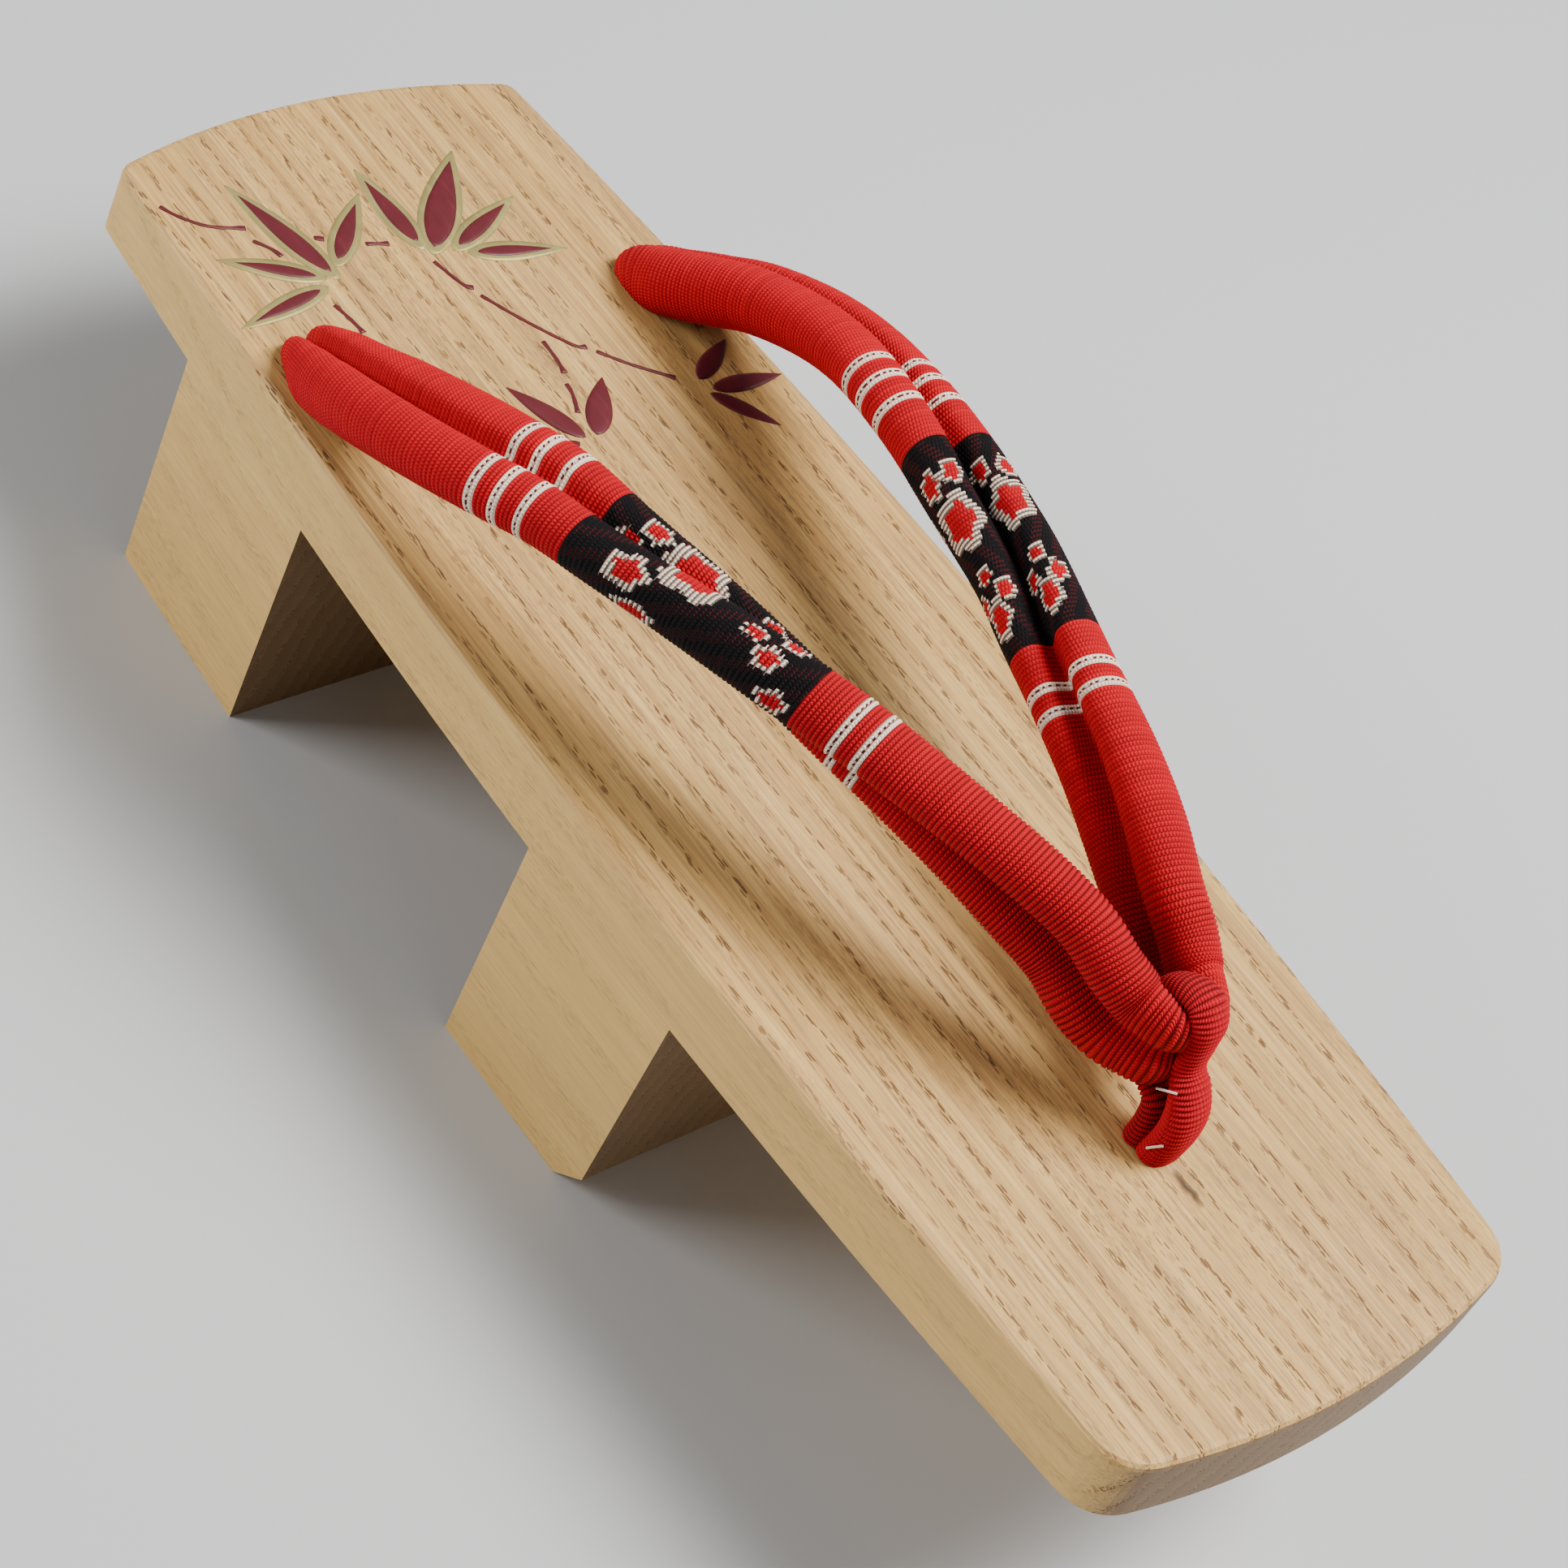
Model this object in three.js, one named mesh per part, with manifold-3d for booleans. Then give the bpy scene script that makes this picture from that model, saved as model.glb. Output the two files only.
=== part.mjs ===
// A woman's geta sandal: one wooden block with two teeth, a padded thong strap
// and the small loop that holds the strap between the toes.
// Millimetres. +X is the wearer's right, +Y the toe, +Z up; the teeth stand on z = 0.

import * as THREE from 'three';
import { mergeVertices } from 'three/addons/utils/BufferGeometryUtils.js';
import Module from 'manifold-3d';

const wasm = await Module();
wasm.setup();

// ---- driving dimensions ----------------------------------------------------

const GAP = 0.3; // clearance between pieces that touch

const DECK = {
  cornerY: 115, // corners stand this far in front of and behind the middle
  endBow: 5, // the two ends bow outwards by this much
  heelHalf: 35, // half widths at the heel corners, the middle and the toe corners
  middleHalf: 41.2,
  toeHalf: 37.2,
  heelCorner: 2, // plan radius of the corners
  toeCorner: 6,
  top: 50.7, // height of the walking surface
  thickMiddle: 12.3,
  thickEnds: 11.1,
  edgeRound: 1.2, // softened top edge
};

// Front-to-back outline of each tooth, all along y, and the cut under its front edge.
const TEETH = [
  { backTop: -88.0, backFoot: -87.0, frontFoot: -55.2, frontTop: -55.6, cutAlong: 0, cutUp: 0 },
  { backTop: 2.1, backFoot: 2.7, frontFoot: 33.2, frontTop: 33.7, cutAlong: 4.6, cutUp: 4.0 },
];

// The holes in the deck that the cords pass through, and their knots below.
const CORD = { rearRadius: 2.7, frontRadius: 2.6, holePlay: 0.5, knotRadius: 5 };
const REAR_HOLE = { x: 31, y: -71, knotX: 25.5, knotY: -49.9, knotDrop: 17.6 };
const FRONT_HOLE = { y: 79.5 };

// One arm of the strap from its hole to the place where the two arms meet.
// rise is above the deck; width runs across the two padded rolls, thick through one, and
// share is a roll's half width over the whole width, so more than 0.25 makes them overlap.
// rollRight and rollLeft turn that width from level and outwards (0) to upright (90).
const ARM = [
  { x: 29.4, y: -74.4, rise: -1.6, width: 7.6, thick: 7.4, share: 0.33, rollRight: -14, rollLeft: -14 },
  { x: 29.8, y: -72.4, rise: 1.0, width: 10.0, thick: 9.0, share: 0.335, rollRight: -17, rollLeft: -19 },
  { x: 30.7, y: -68.0, rise: 3.5, width: 13.2, thick: 9.8, share: 0.34, rollRight: -19, rollLeft: -23 },
  { x: 32.3, y: -62.0, rise: 7.2, width: 14.5, thick: 9.9, share: 0.335, rollRight: -19, rollLeft: -21 },
  { x: 33.7, y: -55.0, rise: 11.6, width: 15.6, thick: 9.5, share: 0.33, rollRight: -18, rollLeft: -17 },
  { x: 34.0, y: -45.0, rise: 16.4, width: 16.3, thick: 8.9, share: 0.315, rollRight: -17, rollLeft: -14 },
  { x: 32.9, y: -35.0, rise: 20.1, width: 16.5, thick: 8.4, share: 0.3, rollRight: -14, rollLeft: -14 },
  { x: 30.7, y: -25.0, rise: 22.7, width: 15.8, thick: 8.1, share: 0.28, rollRight: -8, rollLeft: -11 },
  { x: 28.8, y: -15.0, rise: 23.8, width: 14.6, thick: 8.1, share: 0.265, rollRight: 1, rollLeft: -4 },
  { x: 26.1, y: -4.0, rise: 24.6, width: 13.5, thick: 8.5, share: 0.262, rollRight: 14, rollLeft: 12 },
  { x: 23.2, y: 8.0, rise: 25.1, width: 12.8, thick: 8.9, share: 0.26, rollRight: 33, rollLeft: 30 },
  { x: 19.9, y: 19.0, rise: 24.7, width: 12.9, thick: 9.1, share: 0.26, rollRight: 51, rollLeft: 45 },
  { x: 17.0, y: 29.0, rise: 24.3, width: 13.0, thick: 9.0, share: 0.26, rollRight: 65, rollLeft: 59 },
  { x: 13.9, y: 40.0, rise: 23.5, width: 13.9, thick: 8.9, share: 0.26, rollRight: 77, rollLeft: 70 },
  { x: 10.7, y: 50.0, rise: 22.0, width: 15.0, thick: 8.8, share: 0.262, rollRight: 88, rollLeft: 79 },
  { x: 8.0, y: 58.0, rise: 20.0, width: 15.4, thick: 8.2, share: 0.263, rollRight: 94, rollLeft: 85 },
  { x: 6.9, y: 64.0, rise: 17.6, width: 15.7, thick: 7.9, share: 0.263, rollRight: 96, rollLeft: 88 },
  { x: 5.6, y: 68.2, rise: 16.1, width: 16.1, thick: 6.8, share: 0.265, rollRight: 92, rollLeft: 89 },
];

// Each arm turns inwards round a quarter circle at the front and runs into the other
// arm, past the middle by overrun.
const BEND = {
  radius: 2.6, centreX: 1.9, centreY: 71.8, rise: 15.9, width: 14.2, thick: 4.8, share: 0.27,
  steps: 4, overrun: 0.6,
};
const ROLL_SIDES = 8; // faces round each roll
const STEPS_PER_STATION = 2;

// Middle line of the toe loop, upright on the centre line: up the front, over the
// strap, down between the arms, under the strap and back to the hole. bow is how far
// the band's two edges lie in from its middle, where it wraps the strap.
const LOOP_FRONT = [
  { y: 81.0, rise: 0.3, across: 6.8, thick: 4.2, bow: 0 },
  { y: 81.4, rise: 4.6, across: 7.0, thick: 4.4, bow: 0 },
  { y: 80.9, rise: 8.4, across: 7.0, thick: 4.4, bow: 0 },
  { y: 79.5, rise: 11.6, across: 6.4, thick: 3.8, bow: 0.2 },
  { y: 77.8, rise: 14.2, across: 5.6, thick: 2.6, bow: 0.6 },
  { y: 77.4, rise: 18.0, across: 5.8, thick: 2.4, bow: 0.6 },
  { y: 77.0, rise: 21.6, across: 6.2, thick: 2.4, bow: 0.6 },
  { y: 75.9, rise: 23.8, across: 6.4, thick: 2.4, bow: 0.8 },
  { y: 73.6, rise: 24.2, across: 6.2, thick: 2.4, bow: 0.8 },
];
const LOOP_BACK = [
  { y: 74.8, rise: 24.2, across: 6.4, thick: 2.4, bow: 0.8 },
  { y: 71.6, rise: 23.4, across: 6.0, thick: 2.6, bow: 0.6 },
  { y: 69.2, rise: 20.2, across: 5.2, thick: 2.9, bow: 0 },
  { y: 68.7, rise: 14.8, across: 5.0, thick: 3.0, bow: 0 },
  { y: 70.4, rise: 9.8, across: 5.6, thick: 2.8, bow: 0 },
  { y: 74.0, rise: 8.3, across: 6.4, thick: 2.8, bow: 0 },
  { y: 77.0, rise: 6.8, across: 6.6, thick: 3.4, bow: 0 },
  { y: 77.9, rise: 3.6, across: 6.8, thick: 3.8, bow: 0 },
  { y: 77.9, rise: 0.3, across: 6.6, thick: 3.8, bow: 0 },
];
const LOOP_SIDES = 14;
const LOOP_STEPS = 3; // rings from one place on the loop to the next

const BORE_LEAD = 12; // a bore starts this far outside the wood
const BORE_SIDES = 20;
const CORD_SIDES = 12;
const KNOT_SIDES = { around: 14, down: 9 };
const TRIM_SLAB = { wide: 200, long: 400, deep: 40 }; // larger than all that rests on the deck

const UP = new THREE.Vector3(0, 0, 1);

const woodLook = new THREE.MeshStandardMaterial({ color: 0xc9ab7d, roughness: 0.62, metalness: 0 });
const strapLook = new THREE.MeshStandardMaterial({ color: 0xc4171c, roughness: 0.85, metalness: 0 });
const loopLook = new THREE.MeshStandardMaterial({ color: 0xb8161b, roughness: 0.85, metalness: 0 });

// ---- solids ----------------------------------------------------------------

function toSolid(geometry) {
  const bare = geometry.clone();
  bare.deleteAttribute('normal');
  bare.deleteAttribute('uv');
  const merged = mergeVertices(bare, 1e-4);
  const mesh = new wasm.Mesh({
    numProp: 3,
    vertProperties: new Float32Array(merged.attributes.position.array),
    triVerts: new Uint32Array(merged.index.array),
  });
  mesh.merge();
  return new wasm.Manifold(mesh);
}

function toGeometry(solid) {
  const mesh = solid.getMesh();
  const geometry = new THREE.BufferGeometry();
  geometry.setAttribute('position', new THREE.BufferAttribute(mesh.vertProperties, 3));
  geometry.setIndex(new THREE.BufferAttribute(mesh.triVerts, 1));
  geometry.computeVertexNormals();
  return geometry;
}

// Skin over rings of points that all have the same count, closed by a fan at each end.
function loft(rings) {
  const count = rings[0].length;
  const points = rings.flat();
  const faces = [];
  for (let r = 0; r + 1 < rings.length; r += 1) {
    for (let i = 0; i < count; i += 1) {
      const a = r * count + i;
      const b = r * count + ((i + 1) % count);
      faces.push(a, b, b + count, a, b + count, a + count);
    }
  }
  for (const [ring, start] of [[rings[0], 0], [rings.at(-1), (rings.length - 1) * count]]) {
    const hub = points.length;
    points.push(ring.reduce((sum, p) => sum.add(p), new THREE.Vector3()).divideScalar(count));
    for (let i = 0; i < count; i += 1) {
      const next = (i + 1) % count;
      if (start === 0) faces.push(hub, start + next, start + i);
      else faces.push(hub, start + i, start + next);
    }
  }
  const geometry = new THREE.BufferGeometry().setFromPoints(points);
  geometry.setIndex(signedVolume(points, faces) < 0 ? faces.reverse() : faces);
  return geometry;
}

function signedVolume(points, faces) {
  let sum = 0;
  for (let i = 0; i < faces.length; i += 3) {
    const [a, b, c] = [points[faces[i]], points[faces[i + 1]], points[faces[i + 2]]];
    sum += a.dot(new THREE.Vector3().crossVectors(b, c));
  }
  return sum;
}

function rod(from, to, radius, sides) {
  const length = from.distanceTo(to);
  const geometry = new THREE.CylinderGeometry(radius, radius, length, sides);
  const along = new THREE.Vector3().subVectors(to, from).normalize();
  geometry.applyQuaternion(new THREE.Quaternion().setFromUnitVectors(new THREE.Vector3(0, 1, 0), along));
  const middle = new THREE.Vector3().addVectors(from, to).multiplyScalar(0.5);
  return toSolid(geometry.translate(middle.x, middle.y, middle.z));
}

function ball(centre, radius) {
  const geometry = new THREE.SphereGeometry(radius, KNOT_SIDES.around, KNOT_SIDES.down);
  return toSolid(geometry.translate(centre.x, centre.y, centre.z));
}

// ---- wooden block ----------------------------------------------------------

function halfWidth(y) {
  const t = y / DECK.cornerY;
  const ends = (DECK.toeHalf + DECK.heelHalf) / 2;
  return DECK.middleHalf + ((DECK.toeHalf - DECK.heelHalf) / 2) * t + (ends - DECK.middleHalf) * t * t;
}

function underside(y) {
  const t = y / DECK.cornerY;
  return DECK.top - DECK.thickMiddle + (DECK.thickMiddle - DECK.thickEnds) * t * t;
}

// Quadratic arc that replaces a corner between the points before and after it.
function roundedCorner(before, corner, after, steps) {
  return new THREE.QuadraticBezierCurve(before, corner, after).getPoints(steps);
}

function deckOutline() {
  const side = (y) => new THREE.Vector2(halfWidth(y), y);
  const end = (sign, half) => (x) =>
    new THREE.Vector2(x, sign * (DECK.cornerY + DECK.endBow * (1 - (x / half) ** 2)));
  const heelEnd = end(-1, DECK.heelHalf);
  const toeEnd = end(1, DECK.toeHalf);
  const heelCut = DECK.heelHalf - DECK.heelCorner;
  const toeCut = DECK.toeHalf - DECK.toeCorner;
  const sideStart = -DECK.cornerY + DECK.heelCorner;
  const sideEnd = DECK.cornerY - DECK.toeCorner;
  const endSteps = 10;
  const sideSteps = 24;
  const right = [];
  for (let i = 0; i < endSteps; i += 1) right.push(heelEnd((heelCut * i) / endSteps));
  right.push(...roundedCorner(heelEnd(heelCut), side(-DECK.cornerY), side(sideStart), 5));
  for (let i = 1; i < sideSteps; i += 1) {
    right.push(side(sideStart + ((sideEnd - sideStart) * i) / sideSteps));
  }
  right.push(...roundedCorner(side(sideEnd), side(DECK.cornerY), toeEnd(toeCut), 9));
  for (let i = endSteps - 1; i >= 0; i -= 1) right.push(toeEnd((toeCut * i) / endSteps));
  const left = right.slice(1, -1).reverse().map((p) => new THREE.Vector2(-p.x, p.y));
  return new THREE.Shape([...right, ...left]);
}

function deckPlan() {
  const below = 10; // the plan prism reaches under the teeth, where the side outline ends it
  const geometry = new THREE.ExtrudeGeometry(deckOutline(), {
    depth: DECK.top + below - 2 * DECK.edgeRound,
    bevelEnabled: true,
    bevelThickness: DECK.edgeRound,
    bevelSize: DECK.edgeRound,
    bevelOffset: -DECK.edgeRound,
    bevelSegments: 3,
  });
  return toSolid(geometry.translate(0, 0, DECK.edgeRound - below));
}

function sideOutline() {
  const reach = DECK.cornerY + DECK.endBow + 5;
  const bottom = [];
  const run = (from, to, steps) => {
    for (let i = 0; i <= steps; i += 1) {
      const y = from + ((to - from) * i) / steps;
      bottom.push(new THREE.Vector2(y, underside(y)));
    }
  };
  let from = -reach;
  for (const tooth of TEETH) {
    run(from, tooth.backTop, 4);
    bottom.push(new THREE.Vector2(tooth.backFoot, 0));
    bottom.push(new THREE.Vector2(tooth.frontFoot - tooth.cutAlong, 0));
    if (tooth.cutUp > 0) bottom.push(new THREE.Vector2(tooth.frontFoot, tooth.cutUp));
    from = tooth.frontTop;
  }
  run(from, reach, 6);
  const top = [new THREE.Vector2(reach, DECK.top), new THREE.Vector2(-reach, DECK.top)];
  return new THREE.Shape([...bottom, ...top]);
}

function sideProfile() {
  const width = 2 * DECK.middleHalf + 10;
  const geometry = new THREE.ExtrudeGeometry(sideOutline(), { depth: width, bevelEnabled: false });
  // The outline is drawn as (y, z) and extruded along its own normal, which becomes x.
  geometry.applyMatrix4(new THREE.Matrix4().makeBasis(
    new THREE.Vector3(0, 1, 0), new THREE.Vector3(0, 0, 1), new THREE.Vector3(1, 0, 0),
  ));
  return toSolid(geometry.translate(-width / 2, 0, 0));
}

function rearCordLine(side) {
  const start = new THREE.Vector3(side * REAR_HOLE.x, REAR_HOLE.y, DECK.top);
  const knot = new THREE.Vector3(
    side * REAR_HOLE.knotX, REAR_HOLE.knotY, DECK.top - REAR_HOLE.knotDrop,
  );
  return { start, knot, along: new THREE.Vector3().subVectors(knot, start).normalize() };
}

function frontCordLine() {
  const knotZ = underside(FRONT_HOLE.y) - GAP - CORD.knotRadius;
  return {
    start: new THREE.Vector3(0, FRONT_HOLE.y, DECK.top),
    knot: new THREE.Vector3(0, FRONT_HOLE.y, knotZ),
    along: new THREE.Vector3(0, 0, -1),
  };
}

function bore(line, radius) {
  const start = line.start.clone().addScaledVector(line.along, -BORE_LEAD);
  return rod(start, line.knot, radius, BORE_SIDES);
}

function woodenBlock() {
  let block = deckPlan().intersect(sideProfile());
  for (const side of [1, -1]) {
    block = block.subtract(bore(rearCordLine(side), CORD.rearRadius + CORD.holePlay));
    block = block.subtract(ball(rearCordLine(side).knot, CORD.knotRadius + GAP));
  }
  return block.subtract(bore(frontCordLine(), CORD.frontRadius + CORD.holePlay));
}

// ---- strap -----------------------------------------------------------------

function smoothThrough(points) {
  return new THREE.CatmullRomCurve3(points, false, 'catmullrom', 0.5);
}

// Stations of one arm with its share of the front bend, as curves of one parameter.
function armCurves(side, grow) {
  const roll = side > 0 ? 'rollRight' : 'rollLeft';
  const places = ARM.map((s) => new THREE.Vector3(side * s.x, s.y, DECK.top + s.rise));
  const sizes = ARM.map((s) => new THREE.Vector3(s.width + 2 * grow, s.thick + 2 * grow, 0));
  const turns = ARM.map((s) => new THREE.Vector3(s.share, s[roll], 0));
  const bends = [];
  for (let i = 0; i <= BEND.steps; i += 1) {
    const angle = ((Math.PI / 2) * i) / BEND.steps;
    bends.push([BEND.centreX + BEND.radius * Math.cos(angle), BEND.radius * Math.sin(angle)]);
  }
  bends.push([-BEND.overrun, BEND.radius]);
  for (const [x, ahead] of bends) {
    places.push(new THREE.Vector3(side * x, BEND.centreY + ahead, DECK.top + BEND.rise));
    sizes.push(new THREE.Vector3(BEND.width + 2 * grow, BEND.thick + 2 * grow, 0));
    turns.push(new THREE.Vector3(BEND.share, 90, 0));
  }
  return {
    place: smoothThrough(places),
    size: smoothThrough(sizes),
    turn: smoothThrough(turns),
    steps: (places.length - 1) * STEPS_PER_STATION,
  };
}

// Outline of two padded rolls side by side, with a groove between them.
function strapSection(centre, tangent, side, width, thick, share, rollDegrees) {
  const outward = new THREE.Vector3().crossVectors(tangent, UP).multiplyScalar(side).normalize();
  const upward = UP.clone().addScaledVector(tangent, -tangent.z).normalize();
  const roll = THREE.MathUtils.degToRad(rollDegrees);
  const across = outward.multiplyScalar(Math.cos(roll)).addScaledVector(upward, Math.sin(roll));
  const through = new THREE.Vector3().crossVectors(tangent, across);
  const half = share * width;
  const offset = width / 2 - half;
  const reach = Math.acos(-offset / half);
  const ring = [];
  for (const lobe of [1, -1]) {
    for (let i = 0; i < ROLL_SIDES; i += 1) {
      const angle = -reach + (2 * reach * i) / ROLL_SIDES;
      ring.push(centre.clone()
        .addScaledVector(across, lobe * (offset + half * Math.cos(angle)))
        .addScaledVector(through, lobe * (thick / 2) * Math.sin(angle)));
    }
  }
  return ring;
}

function strapArm(side, grow) {
  const { place, size, turn, steps } = armCurves(side, grow);
  const rings = [];
  for (let i = 0; i <= steps; i += 1) {
    const t = i / steps;
    const { x: width, y: thick } = size.getPoint(t);
    const { x: share, y: roll } = turn.getPoint(t);
    rings.push(strapSection(place.getPoint(t), place.getTangent(t), side, width, thick, share, roll));
  }
  return toSolid(loft(rings));
}

function strapPad(grow) {
  return strapArm(1, grow).add(strapArm(-1, grow));
}

// Everything lower than the clearance above the deck, to trim what rests on it.
function deckTrim() {
  const slab = new THREE.BoxGeometry(TRIM_SLAB.wide, TRIM_SLAB.long, TRIM_SLAB.deep);
  return toSolid(slab.translate(0, 0, DECK.top + GAP - TRIM_SLAB.deep / 2));
}

// A cord from inside the padded end through its hole to the knot below.
function cordTail(line, radius, inside) {
  const start = line.start.clone().addScaledVector(line.along, -inside);
  return rod(start, line.knot, radius, CORD_SIDES).add(ball(line.knot, CORD.knotRadius));
}

function strap() {
  const trimmed = strapPad(0).subtract(deckTrim());
  return trimmed
    .add(cordTail(rearCordLine(1), CORD.rearRadius, 2))
    .add(cordTail(rearCordLine(-1), CORD.rearRadius, 2));
}

// ---- toe loop --------------------------------------------------------------

function loopBand(stations) {
  const places = stations.map((s) => new THREE.Vector3(0, s.y, DECK.top + s.rise));
  const sizes = stations.map((s) => new THREE.Vector3(s.across, s.thick, s.bow));
  const place = smoothThrough(places);
  const size = smoothThrough(sizes);
  const steps = (stations.length - 1) * LOOP_STEPS;
  const sideways = new THREE.Vector3(1, 0, 0);
  const rings = [];
  for (let i = 0; i <= steps; i += 1) {
    const centre = place.getPoint(i / steps);
    const { x: across, y: thick, z: bow } = size.getPoint(i / steps);
    const through = new THREE.Vector3().crossVectors(sideways, place.getTangent(i / steps));
    const ring = [];
    for (let k = 0; k < LOOP_SIDES; k += 1) {
      const angle = (2 * Math.PI * k) / LOOP_SIDES;
      ring.push(centre.clone()
        .addScaledVector(sideways, (across / 2) * Math.cos(angle))
        .addScaledVector(through, (thick / 2) * Math.sin(angle) + bow * Math.cos(angle) ** 2));
    }
    rings.push(ring);
  }
  return toSolid(loft(rings));
}

function toeLoop() {
  return loopBand(LOOP_FRONT)
    .add(loopBand(LOOP_BACK))
    .subtract(strapPad(GAP))
    .subtract(deckTrim())
    .add(cordTail(frontCordLine(), CORD.frontRadius, 3));
}

// ---- the sandal ------------------------------------------------------------

function piece(name, solid, material) {
  const mesh = new THREE.Mesh(toGeometry(solid), material);
  mesh.name = name;
  return mesh;
}

const geta = new THREE.Group();
geta.add(piece('wooden_sole', woodenBlock(), woodLook));
geta.add(piece('thong_strap', strap(), strapLook));
geta.add(piece('toe_loop', toeLoop(), loopLook));

export default geta;
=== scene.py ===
# A geta sandal: the carved wooden block, the painted spray on its heel, the padded thong
# strap with its woven blossoms, the toe loop and the knotted cord ends below the deck.
# Sizes are worked in millimetres and turned into metres where a mesh is made.

import math
import random

import bmesh
import bpy
import numpy as np
from mathutils import Matrix, Vector


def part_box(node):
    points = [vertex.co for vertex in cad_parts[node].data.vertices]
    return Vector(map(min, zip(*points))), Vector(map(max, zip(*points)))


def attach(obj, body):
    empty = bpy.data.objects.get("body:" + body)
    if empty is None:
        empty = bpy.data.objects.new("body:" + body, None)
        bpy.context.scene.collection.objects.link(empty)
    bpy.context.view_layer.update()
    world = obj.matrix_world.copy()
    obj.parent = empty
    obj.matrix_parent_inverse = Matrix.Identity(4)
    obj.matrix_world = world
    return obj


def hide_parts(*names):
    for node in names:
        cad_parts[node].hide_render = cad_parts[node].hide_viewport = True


bl_info = {
    "name": "Geta Sandal",
    "version": (1, 0, 0),
    "blender": (4, 5, 0),
    "location": "View3D > Sidebar > Geta",
    "description": "Wooden sandal with a padded, blossom-woven thong strap",
    "category": "Add Mesh",
}

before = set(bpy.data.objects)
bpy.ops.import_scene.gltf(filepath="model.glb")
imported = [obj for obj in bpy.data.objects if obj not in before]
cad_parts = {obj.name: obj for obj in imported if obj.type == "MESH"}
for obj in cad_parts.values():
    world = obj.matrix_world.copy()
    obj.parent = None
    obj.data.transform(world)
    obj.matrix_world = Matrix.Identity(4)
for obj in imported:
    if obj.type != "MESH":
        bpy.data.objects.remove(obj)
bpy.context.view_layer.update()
MM = 0.001
DECK_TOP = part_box("wooden_sole")[1][2] / MM

# ---- places shared with the carved model ------------------------------------

# x, y and rise above the deck, width over both rolls, thickness, half of one roll's width as a
# share of the whole, and how many degrees the pair is turned, on the right arm and on the left
ARM = (
    (29.4, -74.4, -1.6, 7.6, 7.4, 0.33, -14, -14),
    (29.8, -72.4, 1.0, 10.0, 9.0, 0.335, -17, -19),
    (30.7, -68.0, 3.5, 13.2, 9.8, 0.34, -19, -23),
    (32.3, -62.0, 7.2, 14.5, 9.9, 0.335, -19, -21),
    (33.7, -55.0, 11.6, 15.6, 9.5, 0.33, -18, -17),
    (34.0, -45.0, 16.4, 16.3, 8.9, 0.315, -17, -14),
    (32.9, -35.0, 20.1, 16.5, 8.4, 0.3, -14, -14),
    (30.7, -25.0, 22.7, 15.8, 8.1, 0.28, -8, -11),
    (28.8, -15.0, 23.8, 14.6, 8.1, 0.265, 1, -4),
    (26.1, -4.0, 24.6, 13.5, 8.5, 0.262, 14, 12),
    (23.2, 8.0, 25.1, 12.8, 8.9, 0.26, 33, 30),
    (19.9, 19.0, 24.7, 12.9, 9.1, 0.26, 51, 45),
    (17.0, 29.0, 24.3, 13.0, 9.0, 0.26, 65, 59),
    (13.9, 40.0, 23.5, 13.9, 8.9, 0.26, 77, 70),
    (10.7, 50.0, 22.0, 15.0, 8.8, 0.262, 88, 79),
    (8.0, 58.0, 20.0, 15.4, 8.2, 0.263, 94, 85),
    (6.9, 64.0, 17.6, 15.7, 7.9, 0.263, 96, 88),
    (5.6, 68.2, 16.1, 16.1, 6.8, 0.265, 92, 89),
)
# The arms' closed front ends under the loop: x, y, rise, width, thickness.
ARM_ENDS = (
    (4.6, 71.4, 15.9, 15.2, 5.8), (3.4, 74.2, 15.9, 14.0, 4.8), (1.0, 75.8, 15.9, 12.0, 3.2),
)
END_SHARE = 0.27

# y, rise, width across, thickness, and how far the band's edges lie in from its middle
LOOP = (
    (80.7, 0.1, 7.6, 4.7, 0.0), (81.3, 4.6, 7.2, 4.4, 0.0), (80.9, 8.4, 7.0, 4.4, 0.0),
    (79.5, 11.6, 6.4, 3.8, 0.2), (77.9, 14.2, 5.6, 2.6, 0.6), (77.5, 18.0, 5.8, 2.4, 0.6),
    (77.1, 21.6, 6.2, 2.4, 0.6), (75.4, 23.9, 6.4, 2.4, 0.8), (73.2, 24.1, 6.2, 2.4, 0.8),
    (71.2, 23.0, 5.8, 2.6, 0.5), (69.2, 20.2, 4.8, 2.8, 0.0), (68.7, 14.8, 4.4, 2.8, 0.0),
    (70.4, 9.8, 5.2, 2.8, 0.0), (74.0, 8.2, 6.0, 2.8, 0.0), (76.8, 6.9, 6.4, 3.3, 0.0),
    (77.8, 3.6, 7.0, 3.8, 0.0), (78.1, 0.1, 7.6, 4.4, 0.0),
)
# Sewing on the loop's right side, x, y and rise; the left has the same.
STITCHES = (
    ((2.9, 76.9, 10.0), (3.45, 78.3, 11.6), (3.2, 79.6, 12.5)),
    ((3.85, 80.8, 2.7), (3.85, 81.6, 4.0), (3.5, 82.3, 4.9)),
)
REAR_CORD = ((31.0, -71.0, 0.0), (25.5, -49.9, -17.6))  # hole and knot, z from the deck
FRONT_CORD = ((0.0, 79.5, 0.0), (0.0, 79.5, -17.03))

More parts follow.
